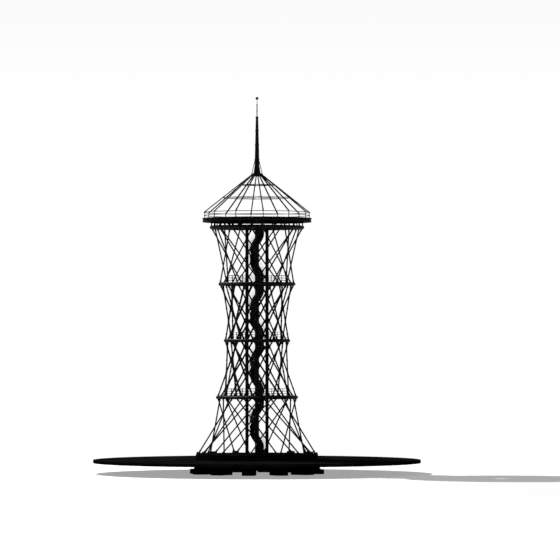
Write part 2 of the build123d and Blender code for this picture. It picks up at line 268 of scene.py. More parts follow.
def bump(tree, shader, height, distance, strength=1.0):
    node = tree.nodes.new("ShaderNodeBump")
    setInputs(node, {"Distance": distance, "Strength": strength})
    tree.links.new(height, node.inputs["Height"])
    join(tree, node, "Normal", shader, "Normal")


def axisOf(tree, place, axis):
    split = tree.nodes.new("ShaderNodeSeparateXYZ")
    join(tree, place, "Object", split, 0)
    return split.outputs[axis]


# A groove in each cell of a pattern that repeats along a length: 1 in the groove, 0 beside it
def grooves(tree, length, pitch, width):
    part = combine(tree, "FRACT", combine(tree, "DIVIDE", length, pitch))
    away = combine(tree, "ABSOLUTE", combine(tree, "SUBTRACT", part, 0.5))
    return combine(tree, "GREATER_THAN", away, 0.5 - width / pitch / 2)


concreteFinish = {
    "dark": (0.0030, 0.0030, 0.0032),
    "light": (0.0066, 0.0066, 0.0070),
    "tintSpan": (0.35, 0.65),
    "roughness": (0.78, 0.93),
    "roughSpan": (0.3, 0.7),
    "specular": 0.0,
    "blotches": 0.55,
    "grain": 9.0,
    "grainDetail": 8.0,
    "grainDepth": 0.35,
    "pores": 14.0,
    "poreReach": 0.10,
    "poreDepth": 0.4,
    "boardAngle": 7.5,
    "boardJoint": 0.05,
    "relief": 0.006,
}


# Cast against boards that stand round the discs
def darkConcrete():
    finish = concreteFinish
    material, tree, shader, place = newPaint("darkConcrete", finish)
    mottle(tree, shader, cloud(tree, place, finish["blotches"]), finish)
    grain = cloud(tree, place, finish["grain"], finish["grainDetail"])
    roughen(tree, shader, grain, finish)
    pores = tree.nodes.new("ShaderNodeTexVoronoi")
    pores.inputs["Scale"].default_value = finish["pores"]
    join(tree, place, "Object", pores, "Vector")
    turn = combine(tree, "ARCTAN2", axisOf(tree, place, "Y"), axisOf(tree, place, "X"))
    degrees = combine(tree, "MULTIPLY", turn, 180 / math.pi)
    boards = grooves(tree, degrees, finish["boardAngle"], finish["boardJoint"])
    pits = combine(tree, "LESS_THAN", pores.outputs["Distance"], finish["poreReach"])
    relief = combine(tree, "MULTIPLY", grain.outputs["Fac"], finish["grainDepth"])
    relief = combine(tree, "SUBTRACT", combine(tree, "ADD", relief, 1.0), boards)
    relief = combine(tree, "SUBTRACT", relief, combine(tree, "MULTIPLY", pits, finish["poreDepth"]))
    bump(tree, shader, relief, finish["relief"])
    return material


structurePaint = {
    "dark": (0.005, 0.005, 0.0053),
    "light": (0.010, 0.010, 0.0105),
    "tintSpan": (0.35, 0.7),
    "roughness": (0.42, 0.60),
    "roughSpan": (0.3, 0.7),
    "specular": 0.12,
    "wear": 1.3,
    "peel": 52.0,
}
railPaint = {
    "dark": (0.006, 0.006, 0.0064),
    "light": (0.012, 0.012, 0.0126),
    "tintSpan": (0.35, 0.7),
    "roughness": (0.34, 0.52),
    "roughSpan": (0.3, 0.7),
    "specular": 0.14,
    "wear": 3.1,
    "peel": 124.0,
}
peelRelief = {"detail": 2.0, "depth": 0.0006, "strength": 0.5}


def satinPaint(name, finish):
    material, tree, shader, place = newPaint(name, finish)
    wear = cloud(tree, place, finish["wear"])
    mottle(tree, shader, wear, finish)
    roughen(tree, shader, wear, finish)
    peel = cloud(tree, place, finish["peel"], peelRelief["detail"])
    bump(tree, shader, peel.outputs["Fac"], peelRelief["depth"], peelRelief["strength"])
    return material


deckFinish = {
    "dark": (0.006, 0.006, 0.0065),
    "light": (0.015, 0.015, 0.0156),
    "tintSpan": (0.4, 0.75),
    "roughness": (0.5, 0.75),
    "roughSpan": (0.3, 0.7),
    "specular": 0.2,
    "scuffs": 2.2,
    "scuffDetail": 7.0,
    "ribPitch": 0.05,
    "ribWidth": 0.020,
    "ribDepth": 0.5,
    "jointPitch": 0.60,
    "jointWidth": 0.008,
    "relief": 0.005,
}


def deckPlate():
    finish = deckFinish
    material, tree, shader, place = newPaint("ribbedDeckPlate", finish)
    scuffs = cloud(tree, place, finish["scuffs"], finish["scuffDetail"])
    mottle(tree, shader, scuffs, finish)
    roughen(tree, shader, scuffs, finish)
    ribs = grooves(tree, axisOf(tree, place, "X"), finish["ribPitch"], finish["ribWidth"])
    joints = grooves(tree, axisOf(tree, place, "Y"), finish["jointPitch"], finish["jointWidth"])
    relief = combine(tree, "SUBTRACT", combine(tree, "MULTIPLY", ribs, finish["ribDepth"]), joints)
    bump(tree, shader, relief, finish["relief"])
    return material


stairFinish = {
    "dark": (0.006, 0.006, 0.0065),
    "light": (0.015, 0.015, 0.0156),
    "tintSpan": (0.4, 0.75),
    "roughness": 0.55,
    "specular": 0.22,
    "scuffs": 4.0,
    "scuffDetail": 7.0,
    "lugPitch": 0.036,
    "lugWidth": 0.010,
    "lugGap": 0.012,
    "relief": 0.0015,
}


# Chequered plate: short lugs that lie crosswise by turns
def stairPlate():
    finish = stairFinish
    material, tree, shader, place = newPaint("chequeredStairPlate", finish)
    shader.inputs["Roughness"].default_value = finish["roughness"]
    mottle(tree, shader, cloud(tree, place, finish["scuffs"], finish["scuffDetail"]), finish)
    across = combine(tree, "ADD", axisOf(tree, place, "X"), axisOf(tree, place, "Y"))
    along = combine(tree, "SUBTRACT", axisOf(tree, place, "X"), axisOf(tree, place, "Y"))
    lugs = []
    for length, other in ((across, along), (along, across)):
        lug = grooves(tree, length, finish["lugPitch"], finish["lugWidth"])
        gap = grooves(tree, other, finish["lugPitch"], finish["lugGap"])
        lugs.append(combine(tree, "MULTIPLY", lug, combine(tree, "SUBTRACT", 1.0, gap)))
    bump(tree, shader, combine(tree, "ADD", *lugs), finish["relief"])
    return material


paints = {
    concrete: darkConcrete(),
    steel: satinPaint("blackPaint", structurePaint),
    decking: deckPlate(),
    stairs: stairPlate(),
    railing: satinPaint("railPaint", railPaint),
}
for name, node in nodes.items():
    for place in node.material_slots:
        place.material = paints[slotOf[name]]
print("materials made:", len(paints))


# Mesh helpers
def polar(radius, angle, level):
    return Vector((radius * math.cos(math.radians(angle)), radius * math.sin(math.radians(angle)), level))


def turned(angle):
    return Matrix.Rotation(math.radians(angle), 4, "Z")


def at(x, y, z):
    return Matrix.Translation((x, y, z))


def squareCorners(reach):
    return [(x, y) for x in (-reach, reach) for y in (-reach, reach)]


def addBox(shape, size, matrix, chamfer=0.0):
    made = bmesh.ops.create_cube(shape, size=1.0, matrix=matrix @ Matrix.Diagonal((*size, 1)))
    if chamfer:
        edges = {edge for vertex in made["verts"] for edge in vertex.link_edges}
        bmesh.ops.bevel(shape, geom=list(edges), offset=chamfer, segments=2, profile=0.5, affect="EDGES")


def addRod(shape, foot, head, radius, sides):
    foot, head = Vector(foot), Vector(head)
    along = head - foot
    turn = along.to_track_quat("Z", "Y").to_matrix().to_4x4()
    bmesh.ops.create_cone(
        shape,
        cap_ends=True,
        segments=sides,
        radius1=radius,
        radius2=radius,
        depth=along.length,
        matrix=Matrix.Translation((foot + head) / 2) @ turn,
    )


hexBolt = {"washer": 1.45, "washerShare": 0.25, "washerSides": 16}


def addHexBolt(shape, foot, outward, radius, height):
    foot, outward = Vector(foot), Vector(outward).normalized()
    seat = foot + outward * height * hexBolt["washerShare"]
    addRod(shape, foot, seat, radius * hexBolt["washer"], hexBolt["washerSides"])
    addRod(shape, seat, foot + outward * height, radius, 6)


def addLathe(shape, profile, segments):
    rows = []
    for radius, level in profile:
        turns = [2 * math.pi * k / segments for k in range(segments)]
        rows.append([shape.verts.new((radius * math.cos(t), radius * math.sin(t), level)) for t in turns])
    for low, high in zip(rows, rows[1:]):
        for k in range(segments):
            after = (k + 1) % segments
            shape.faces.new((low[k], low[after], high[after], high[k]))
    shape.faces.new(list(reversed(rows[0])))
    shape.faces.new(rows[-1])


def addDisc(shape, radius, low, high, chamfer, segments):
    rim = radius - chamfer
    profile = [(rim, low), (radius, low + chamfer), (radius, high - chamfer), (rim, high)]
    addLathe(shape, profile, segments)


# A square plate on a level, or under it where out is -1, with a bolt at each corner
def addBoltedPlate(shape, radius, level, plate, out=1):
    size, thickness = plate["plate"], plate["thickness"]
    seat = at(radius, 0, level + out * thickness / 2)
    addBox(shape, (size, size, thickness), seat, plate["chamfer"])
    for x, y in squareCorners(plate["bolts"]):
        spot = (radius + x, y, level + out * thickness)
        addHexBolt(shape, spot, (0, 0, out), plate["boltRadius"], plate["boltHeight"])


def template(build):
    shape = bmesh.new()
    build(shape)
    bmesh.ops.recalc_face_normals(shape, faces=shape.faces)
    mesh = bpy.data.meshes.new("template")
    shape.to_mesh(mesh)
    shape.free()
    return mesh


# Geometry Nodes
stepSockets = [
    ("Count", "NodeSocketInt"),
    ("Start", "NodeSocketFloat"),
    ("Step", "NodeSocketFloat"),
    ("Rise", "NodeSocketFloat"),
    ("Material", "NodeSocketMaterial"),
]


def startTree(name, sockets):
    tree = bpy.data.node_groups.new(name, "GeometryNodeTree")
    for label, kind in sockets:
        tree.interface.new_socket(label, in_out="INPUT", socket_type=kind)
    tree.interface.new_socket("Geometry", in_out="OUTPUT", socket_type="NodeSocketGeometry")
    return tree, tree.nodes.new("NodeGroupInput")


def endTree(tree, entry, source):
    real = tree.nodes.new("GeometryNodeRealizeInstances")
    paint = tree.nodes.new("GeometryNodeSetMaterial")
    out = tree.nodes.new("NodeGroupOutput")
    join(tree, source, 0, real, 0)
    join(tree, real, 0, paint, "Geometry")
    join(tree, entry, "Material", paint, "Material")
    join(tree, paint, 0, out, 0)
    return tree


# Points on the axis, one for each copy, and the turn and rise that each copy gets
def turnStep(tree, entry):
    points = tree.nodes.new("GeometryNodePoints")
    index = tree.nodes.new("GeometryNodeInputIndex")
    sweep = tree.nodes.new("ShaderNodeMath")
    sweep.operation = "MULTIPLY_ADD"
    climb = tree.nodes.new("ShaderNodeMath")
    climb.operation = "MULTIPLY"
    place = tree.nodes.new("ShaderNodeCombineXYZ")
    turn = tree.nodes.new("ShaderNodeCombineXYZ")
    instances = tree.nodes.new("GeometryNodeInstanceOnPoints")
    join(tree, entry, "Count", points, "Count")
    join(tree, index, 0, sweep, 0)
    join(tree, entry, "Step", sweep, 1)
    join(tree, entry, "Start", sweep, 2)
    join(tree, sweep, 0, turn, "Z")
    join(tree, index, 0, climb, 0)
    join(tree, entry, "Rise", climb, 1)
    join(tree, climb, 0, place, "Z")
    join(tree, place, 0, points, "Position")
    join(tree, points, 0, instances, "Points")
    join(tree, turn, 0, instances, "Rotation")
    return instances


def copiesTree():
    tree, entry = startTree("turnedCopies", [("Geometry", "NodeSocketGeometry")] + stepSockets)
    instances = turnStep(tree, entry)
    join(tree, entry, "Geometry", instances, "Instance")
    return endTree(tree, entry, instances)


# A round bar from foot to head, its mirror in y, or both, once in each bay
def barsTree():
    sockets = [
        ("Foot", "NodeSocketVector"),
        ("Head", "NodeSocketVector"),
        ("Radius", "NodeSocketFloat"),
        ("Sides", "NodeSocketInt"),
        ("Right", "NodeSocketBool"),
        ("Left", "NodeSocketBool"),
    ]
    tree, entry = startTree("leaningBars", sockets + stepSockets)
    line = tree.nodes.new("GeometryNodeCurvePrimitiveLine")
    ring = tree.nodes.new("GeometryNodeCurvePrimitiveCircle")
    tube = tree.nodes.new("GeometryNodeCurveToMesh")
    tube.inputs["Fill Caps"].default_value = True
    other = tree.nodes.new("GeometryNodeTransform")
    other.inputs["Scale"].default_value = (1, -1, 1)
    flip = tree.nodes.new("GeometryNodeFlipFaces")
    pair = tree.nodes.new("GeometryNodeJoinGeometry")
    for hand, source in (("Left", flip), ("Right", tube)):
        pick = tree.nodes.new("GeometryNodeSwitch")
        pick.input_type = "GEOMETRY"
        join(tree, entry, hand, pick, "Switch")
        join(tree, source, 0, pick, "True")
        join(tree, pick, 0, pair, 0)
    instances = turnStep(tree, entry)
    join(tree, entry, "Foot", line, "Start")
    join(tree, entry, "Head", line, "End")
    join(tree, entry, "Radius", ring, "Radius")
    join(tree, entry, "Sides", ring, "Resolution")
    join(tree, line, 0, tube, "Curve")
    join(tree, ring, 0, tube, "Profile Curve")
    join(tree, tube, 0, other, "Geometry")
    join(tree, other, 0, flip, 0)
    join(tree, pair, 0, instances, "Instance")
    return endTree(tree, entry, instances)


helixDetail = {"pointsPerTurn": 96, "sides": 12}


# A round or flat bar that winds down to the right round the axis
def helixTree():
    sockets = [
        ("Radius", "NodeSocketFloat"),
        ("Turns", "NodeSocketFloat"),
        ("Height", "NodeSocketFloat"),
        ("Width", "NodeSocketFloat"),
        ("Depth", "NodeSocketFloat"),
        ("Round", "NodeSocketBool"),
        ("Start", "NodeSocketFloat"),
        ("Level", "NodeSocketFloat"),
        ("Material", "NodeSocketMaterial"),
    ]
    tree, entry = startTree("helixBar", sockets)
    spiral = tree.nodes.new("GeometryNodeCurveSpiral")
    setInputs(spiral, {"Resolution": helixDetail["pointsPerTurn"], "Reverse": True})
    ring = tree.nodes.new("GeometryNodeCurvePrimitiveCircle")
    ring.inputs["Resolution"].default_value = helixDetail["sides"]
    half = tree.nodes.new("ShaderNodeMath")
    half.operation = "DIVIDE"
    half.inputs[1].default_value = 2.0
    flat = tree.nodes.new("GeometryNodeCurvePrimitiveQuadrilateral")
    pick = tree.nodes.new("GeometryNodeSwitch")
    pick.input_type = "GEOMETRY"
    upright = tree.nodes.new("GeometryNodeSetCurveNormal")
    upright.mode = "Z_UP"
    tube = tree.nodes.new("GeometryNodeCurveToMesh")
    tube.inputs["Fill Caps"].default_value = True
    turn = tree.nodes.new("ShaderNodeCombineXYZ")
    lift = tree.nodes.new("ShaderNodeCombineXYZ")
    move = tree.nodes.new("GeometryNodeTransform")
    for radius in ("Start Radius", "End Radius"):
        join(tree, entry, "Radius", spiral, radius)
    join(tree, entry, "Turns", spiral, "Rotations")
    join(tree, entry, "Height", spiral, "Height")
    join(tree, entry, "Width", half, 0)
    join(tree, half, 0, ring, "Radius")
    join(tree, entry, "Width", flat, "Width")
    join(tree, entry, "Depth", flat, "Height")
    join(tree, entry, "Round", pick, "Switch")
    join(tree, flat, 0, pick, "False")
    join(tree, ring, 0, pick, "True")
    join(tree, spiral, 0, upright, "Curve")
    join(tree, upright, 0, tube, "Curve")
    join(tree, pick, 0, tube, "Profile Curve")
    join(tree, entry, "Start", turn, "Z")
    join(tree, entry, "Level", lift, "Z")
    join(tree, tube, 0, move, "Geometry")
    join(tree, turn, 0, move, "Rotation")
    join(tree, lift, 0, move, "Translation")
    return endTree(tree, entry, move)


trees = {"copies": copiesTree(), "bars": barsTree(), "helix": helixTree()}


def grow(tree, values, source=None):
    holder = bpy.data.objects.new("grower", source or bpy.data.meshes.new("seed"))
    bpy.context.scene.collection.objects.link(holder)
    modifier = holder.modifiers.new("grow", "NODES")
    modifier.node_group = tree
    for item in tree.interface.items_tree:
        if item.item_type == "SOCKET" and item.in_out == "INPUT" and item.name in values:
            modifier[item.identifier] = values[item.name]
    graph = bpy.context.evaluated_depsgraph_get()
    mesh = bpy.data.meshes.new_from_object(holder.evaluated_get(graph), depsgraph=graph)
    holder.modifiers.clear()
    bpy.data.objects.remove(holder)
    return mesh


def copies(source, count, slot, start=0.0, step=None, rise=0.0):
    values = {
        "Count": count,
        "Start": math.radians(start),
        "Step": math.radians(360.0 / count if step is None else step),
        "Rise": rise,
        "Material": paints[slot],
    }
    return grow(trees["copies"], values, source)


def makePiece(name, slot, meshes, replaced=(), sharp=35.0):
    shape = bmesh.new()
    for mesh in meshes:
        shape.from_mesh(mesh)
    whole = bpy.data.meshes.new(name)
    shape.to_mesh(whole)
    shape.free()
    for face in whole.polygons:
        face.material_index = 0
        face.use_smooth = True
    whole.set_sharp_from_angle(angle=math.radians(sharp))
    whole.materials.clear()
    whole.materials.append(paints[slot])
    piece = bpy.data.objects.new(name, whole)
    bpy.context.scene.collection.objects.link(piece)
    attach(piece, "root")
    if replaced:
        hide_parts(*replaced)


podiumDisc = {"node": "podium_slab", "chamfer": 0.018, "segments": 288, "groove": 0.012, "grooveDrop": 0.06}
raftDrum = {"node": "foundation_raft", "chamfer": 0.02, "segments": 192, "groove": 0.012, "grooveDrop": 0.16}
plinthDrum = {"node": "plinth", "chamfer": 0.02, "segments": 192, "groove": 0.010, "grooveDrop": 0.12}


# Podium, raft and plinth: true round discs with chamfered rims and a shadow groove
def makeConcreteDisc(name, facts):
    low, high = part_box(facts["node"])
    radius, chamfer, groove = high.x, facts["chamfer"], facts["groove"]
    top = high.z - facts["grooveDrop"]
    profile = [
        (radius - chamfer, low.z),
        (radius, low.z + chamfer),
        (radius, top - groove),
        (radius - groove, top - groove / 2),
        (radius - groove, top + groove / 2),
        (radius, top + groove),
        (radius, high.z - chamfer),
        (radius - chamfer, high.z),
    ]
    disc = template(lambda shape: addLathe(shape, profile, facts["segments"]))
    makePiece(name, concrete, [disc], [facts["node"]], 20.0)


makeConcreteDisc("podiumDisc", podiumDisc)
makeConcreteDisc("raftDrum", raftDrum)
makeConcreteDisc("plinthDrum", plinthDrum)
print("concrete discs made")

# Hand 1 leans anticlockwise as it rises, and hand -1 is its mirror.
# The end tiers have bars of one hand in each shell.
lattice = {
    "leads": {"outer": footAngle, "inner": -footAngle},
    "hands": {"outer": ((1,), (1, -1), (1, -1), (-1,)), "inner": ((-1,), (1, -1), (1, -1), (1,))},
}
latticeTubes = {"radius": 0.055, "sides": 20}


def barEnds(shell, tier):
    radii, lead = tower[shell], lattice["leads"][shell]
    foot = polar(radii[tier], -lead, levels[tier])
    head = polar(radii[tier + 1], tower["twist"] - lead, levels[tier + 1])
    return foot, head


def bars(foot, head, radius, hands):
    values = {
        "Foot": foot,
        "Head": head,
        "Radius": radius,
        "Sides": latticeTubes["sides"],
        "Right": 1 in hands,
        "Left": -1 in hands,
        "Count": bays,
        "Start": 0.0,
        "Step": math.radians(bayAngle),
        "Rise": 0.0,
        "Material": paints[steel],
    }
    return grow(trees["bars"], values)


# The turns from a bar's foot at which it crosses bars of the other hand: one in each half bay
def crossings(shell):
    first = lattice["leads"][shell] % halfBay
    return [first + halfBay * k for k in range(int(tower["twist"] / halfBay))]


def crossing(shell, tier, after):
    foot, head = barEnds(shell, tier)
    near = tower[shell][tier] * math.sin(math.radians(after))
    far = tower[shell][tier + 1] * math.sin(math.radians(tower["twist"] - after))
    centre = foot.lerp(head, near / (near + far))
    along = (head - foot).normalized()
    radial = Vector((centre.x, centre.y, 0)).normalized()
    normal = (along.z * radial - along.dot(radial) * Vector((0, 0, 1))).normalized()
    return centre, along, normal


crossingSleeves = {
    "radius": 0.058,
    "half": 0.082,
    "bandRadius": 0.061,
    "bandHalf": 0.008,
    "bandOffset": 0.070,
}


def crossingSleeve(centre, along, hands):
    facts = crossingSleeves
    sleeve = [bars(centre - along * facts["half"], centre + along * facts["half"], facts["radius"], hands)]
    for side in (-1, 1):
        band = centre + along * facts["bandOffset"] * side
        half = along * facts["bandHalf"]
        sleeve.append(bars(band - half, band + half, facts["bandRadius"], hands))
    return sleeve


crossingPlates = {
    "radius": 0.060,
    "thickness": 0.012,
    "offset": 0.062,
    "sides": 28,
    "boltRadius": 0.016,
    "boltHeight": 0.012,
    "studs": 6,
    "studCircle": 0.042,
    "studRadius": 0.007,
    "studHeight": 0.008,
}


def addCrossingPlates(shape, centre, normal):
    plate = crossingPlates
    for side in (1, -1):
        out = normal * side
        seat = centre + out * plate["offset"]
        addRod(shape, seat - out * plate["thickness"], seat, plate["radius"], plate["sides"])
        addHexBolt(shape, seat, out, plate["boltRadius"], plate["boltHeight"])
        across = out.orthogonal().normalized()
        for k in range(plate["studs"]):
            spot = Matrix.Rotation(2 * math.pi * k / plate["studs"], 3, out) @ across * plate["studCircle"]
            addRod(shape, seat + spot, seat + spot + out * plate["studHeight"], plate["studRadius"], 6)


barSockets = {
    "radius": 0.066,
    "start": 0.11,
    "end": 0.30,
    "shoeStart": 0.14,
    "shoeEnd": 0.34,
    "flangeRadius": 0.082,
    "flange": 0.018,
}


# A socket at each end of a bar, with a flange on its far end. Those on the shoes are longer.
def socketPair(foot, head, along, tier, hands):
    socket = barSockets
    first, last = (socket["start"], socket["end"]) if tier else (socket["shoeStart"], socket["shoeEnd"])
    upper = socket["end"]
    return [
        bars(foot + along * first, foot + along * last, socket["radius"], hands),
        bars(foot + along * (last - socket["flange"]), foot + along * last, socket["flangeRadius"], hands),
        bars(head - along * upper, head - along * socket["start"], socket["radius"], hands),
        bars(head - along * upper, head - along * (upper - socket["flange"]), socket["flangeRadius"], hands),
    ]


for shell in shells:
    for tier in range(tower["tiers"]):
        number = tier + 1
        hands = lattice["hands"][shell][tier]
        foot, head = barEnds(shell, tier)
        tubes = bars(foot, head, latticeTubes["radius"], hands)
        makePiece(f"{shell}LatticeTubes{number}", steel, [tubes], [f"{shell}_lattice_{number}"])
        if len(hands) == 2:
            sleeves, plates = [], []
            for after in crossings(shell):
                centre, along, normal = crossing(shell, tier, after)
                sleeves += crossingSleeve(centre, along, hands)
                plate = template(lambda shape: addCrossingPlates(shape, centre, normal))
                plates.append(copies(plate, bays, steel))
            makePiece(f"{shell}CrossingSleeves{number}", steel, sleeves)
            makePiece(f"{shell}CrossingPlates{number}", steel, plates)
        sockets = socketPair(foot, head, (head - foot).normalized(), tier, hands)
        makePiece(f"{shell}BarSockets{number}", steel, sockets)
print("lattice shells made")

ringPipes = {"radius": 0.125, "sides": 28}


# A round pipe along a closed run of straight lengths, mitred at its corners
def addMitredPipe(shape, corners, level, radius, sides):
    rows = []
    for k, corner in enumerate(corners):
        before, after = corners[k - 1], corners[(k + 1) % len(corners)]
        coming, going = (corner - before).normalized(), (after - corner).normalized()
        across = (Vector((coming.y, -coming.x, 0)) + Vector((going.y, -going.x, 0))).normalized()
        stretch = 1 / math.cos(coming.angle(going) / 2)
        row = []
        for s in range(sides):
            turn = 2 * math.pi * s / sides
            lift = Vector((0, 0, level + math.sin(turn) * radius))
            row.append(shape.verts.new(corner + across * math.cos(turn) * radius * stretch + lift))
        rows.append(row)
    for k, row in enumerate(rows):
        following = rows[(k + 1) % len(rows)]
        for s in range(sides):
            later = (s + 1) % sides
            shape.faces.new((row[s], following[s], following[later], row[later]))


ringCollars = {"radius": 0.136, "width": 0.035, "offset": 0.16, "sides": 28}


# A collar on each side of the corner where a bar's head meets the ring
def addRingCollars(shape, radius, level):
    collar = ringCollars
    corner = polar(radius, footAngle, level)
    for angle in (-footAngle, bayAngle - footAngle):
        along = (polar(radius, angle, level) - corner).normalized()
        middle = corner + along * collar["offset"]
        half = along * collar["width"] / 2
        addRod(shape, middle - half, middle + half, collar["radius"], collar["sides"])


for shell in shells:
    for tier in range(1, tower["tiers"] + 1):
        radius = tower[shell][tier]
        angles = [bay * bayAngle + side * footAngle for bay in range(bays) for side in (-1, 1)]
        corners = [polar(radius, angle, 0) for angle in angles]
        facts = (corners, levels[tier], ringPipes["radius"], ringPipes["sides"])
        pipe = template(lambda shape: addMitredPipe(shape, *facts))
        makePiece(f"{shell}RingPipe{tier}", steel, [pipe], [f"{shell}_ring_{tier}"], 20.0)
        collar = template(lambda shape: addRingCollars(shape, radius, levels[tier]))
        mirror = collar.copy()
        for vertex in mirror.vertices:
            vertex.co.y = -vertex.co.y
        mirror.flip_normals()
        collars = [copies(collar, bays, steel), copies(mirror, bays, steel)]
        makePiece(f"{shell}RingCollars{tier}", steel, collars)
print("rings made")

shoeBolts = {"reach": 0.105, "radius": 0.021, "height": 0.020, "stud": 0.010, "studHeight": 0.036}


# Four anchor bolts on each shoe
def addShoeBolts(shape, radius):
    bolt = shoeBolts
    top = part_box("bar_shoes")[1].z
    for x, y in squareCorners(bolt["reach"]):
        spot = turned(-footAngle) @ Vector((radius + x, y, top))
        addHexBolt(shape, spot, (0, 0, 1), bolt["radius"], bolt["height"])
        addRod(shape, spot, spot + Vector((0, 0, bolt["studHeight"])), bolt["stud"], 12)


shoeParts = []
for shell in shells:
    bolts = template(lambda shape: addShoeBolts(shape, tower[shell][0]))
    shoeParts.append(copies(bolts, bays, steel))
makePiece("shoeBolts", steel, shoeParts)

columnCasings = {"count": 4, "radius": 0.795, "width": 0.264, "corner": 0.018}


# The core columns as box sections
def addColumnCasing(shape):
    casing = columnCasings
    low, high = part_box("core_columns")
    middle = at(casing["radius"], 0, (low.z + high.z) / 2)
    addBox(shape, (casing["width"], casing["width"], high.z - low.z), middle, casing["corner"])


casing = copies(template(addColumnCasing), columnCasings["count"], steel)
makePiece("columnCasings", steel, [casing], ["core_columns"])

columnBases = {
    "plate": 0.336,
    "thickness": 0.020,
    "chamfer": 0.002,
    "bolts": 0.150,
    "boltRadius": 0.012,
    "boltHeight": 0.010,
}
splicePlates = {
    "thickness": 0.012,
    "width": 0.15,
    "height": 0.34,
    "rise": 0.05,
    "chamfer": 0.002,
    "rows": (-0.12, -0.045, 0.045, 0.12),
    "columns": (-0.045, 0.045),
    "boltRadius": 0.012,
    "boltHeight": 0.010,
}


# A plate on each face of a column, above a platform
def addSplicePlates(shape, level):
    plate = splicePlates
    face, thickness = columnCasings["width"] / 2, plate["thickness"]
    middle = at(columnCasings["radius"], 0, level + plate["height"] / 2 + plate["rise"])
    for turn in range(4):
        spin = middle @ turned(90 * turn)
        outward = spin.to_3x3() @ Vector((1, 0, 0))
        seat = spin @ at(face + thickness / 2, 0, 0)
        addBox(shape, (thickness, plate["width"], plate["height"]), seat, plate["chamfer"])
        for row in plate["rows"]:
            for column in plate["columns"]:
                spot = spin @ Vector((face + thickness, column, row))
                addHexBolt(shape, spot, outward, plate["boltRadius"], plate["boltHeight"])


platformTops = [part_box(f"platform_floor_{tier}")[1].z for tier in range(1, tower["tiers"])]
base = template(lambda shape: addBoltedPlate(shape, columnCasings["radius"], plinthTop, columnBases))
plateParts = [copies(base, columnCasings["count"], steel)]
for top in platformTops:
    splice = template(lambda shape: addSplicePlates(shape, top))
    plateParts.append(copies(splice, columnCasings["count"], steel))
makePiece("columnPlates", steel, plateParts)
print("shoes and columns dressed")

# The helical stair runs through all four storeys, a full turn each
stair = {"steps": 36, "startAngle": 35.0}
stepRise = tower["tierHeight"] / stair["steps"]
stepTurn = -360.0 / stair["steps"]
treads = stair["steps"] * tower["tiers"]
stairTurns = tower["tiers"] - 1.0 / stair["steps"]
firstTop = plinthTop + stepRise


# Without a depth the bar is round, and its width is its diameter
def stairHelix(slot, radius, lift, width, depth=0.0):
    values = {
        "Radius": radius,
        "Turns": stairTurns,
        "Height": stairTurns * tower["tierHeight"],
        "Width": width,
        "Depth": depth,
        "Round": depth == 0,
        "Start": math.radians(stair["startAngle"]),
        "Level": firstTop + lift,
        "Material": paints[slot],
    }
    return grow(trees["helix"], values)


def makeStairBand(name, band):
    bar = stairHelix(stairs, band["radius"], -band["drop"], band["width"], band["depth"])
    makePiece(name, stairs, [bar], sharp=40.0)


stairString = {"radius": 0.560, "drop": 0.045, "width": 0.016, "depth": 0.150}
makeStairBand("stairString", stairString)

stairHandrail = {"radius": 0.592, "rise": 0.47, "width": 0.034, "middleRise": 0.24, "middleWidth": 0.016}


def makeStairHandrail():
    rail = stairHandrail
    upper = stairHelix(railing, rail["radius"], rail["rise"], rail["width"])
    middle = stairHelix(railing, rail["radius"], rail["middleRise"], rail["middleWidth"])
    makePiece("stairHandrail", railing, [upper, middle])


makeStairHandrail()

stairSoffit = {"radius": 0.361, "drop": 0.165, "width": 0.376, "depth": 0.020}
makeStairBand("stairSoffit", stairSoffit)


def oneEachStep(build, slot):
    return [copies(template(build), treads, slot, stair["startAngle"], stepTurn, stepRise)]


stairRisers = {"inner": 0.172, "outer": 0.549, "thickness": 0.006, "height": 0.083, "drop": 0.0415}


def addRiser(shape):
    riser = stairRisers
    length = riser["outer"] - riser["inner"]
    level = firstTop - riser["drop"] - riser["height"] / 2
    seat = turned(-stepTurn / 2) @ at(riser["inner"] + length / 2, 0, level)
    addBox(shape, (length, riser["thickness"], riser["height"]), seat)


makePiece("stairRisers", stairs, oneEachStep(addRiser, stairs))

stairBalusters = {
    "radius": 0.008,
    "sides": 10,
    "drop": 0.06,
    "pinRadius": 0.012,
    "pinDrop": 0.03,
    "pinInner": 0.557,
    "pinOuter": 0.604,
}


# Each baluster is pinned to the string
def addBaluster(shape):
    bar, radius = stairBalusters, stairHandrail["radius"]
    foot = (radius, 0, firstTop - bar["drop"])
    head = (radius, 0, firstTop + stairHandrail["rise"])
    addRod(shape, foot, head, bar["radius"], bar["sides"])
    level = firstTop - bar["pinDrop"]
    inner, outer = (bar["pinInner"], 0, level), (bar["pinOuter"], 0, level)
    addRod(shape, inner, outer, bar["pinRadius"], bar["sides"])


makePiece("stairBalusters", railing, oneEachStep(addBaluster, railing))

treadNosings = {
    "inner": 0.19,
    "outer": 0.545,
    "width": 0.010,
    "height": 0.006,
    "offset": 0.01734,
    "chamfer": 0.001,
}


def addNosing(shape):
    nosing = treadNosings
    length = nosing["outer"] - nosing["inner"]
    seat = at(nosing["inner"] + length / 2, nosing["offset"], firstTop + nosing["height"] / 2)
    addBox(shape, (length, nosing["width"], nosing["height"]), seat, nosing["chamfer"])


makePiece("treadNosings", stairs, oneEachStep(addNosing, stairs))
print("stair dressed")

platformRailings = {
    "circles": (2.404, 1.899, 2.317),
    "postOffset": 0.016,
    "railHalf": 0.0125,
    "height": 0.56,
    "rails": 3,
}
railingFeet = {
    "plate": 0.075,
    "thickness": 0.010,
    "chamfer": 0.0015,
    "bolts": 0.027,
    "boltRadius": 0.006,
    "boltHeight": 0.008,
}
railClips = {
    "width": 0.045,
    "thickness": 0.006,
    "height": 0.034,
    "chamfer": 0.001,
    "inward": 0.012,
    "gap": 0.016,
    "boltStart": 0.020,
    "boltEnd": 0.028,
    "boltRadius": 0.005,
}


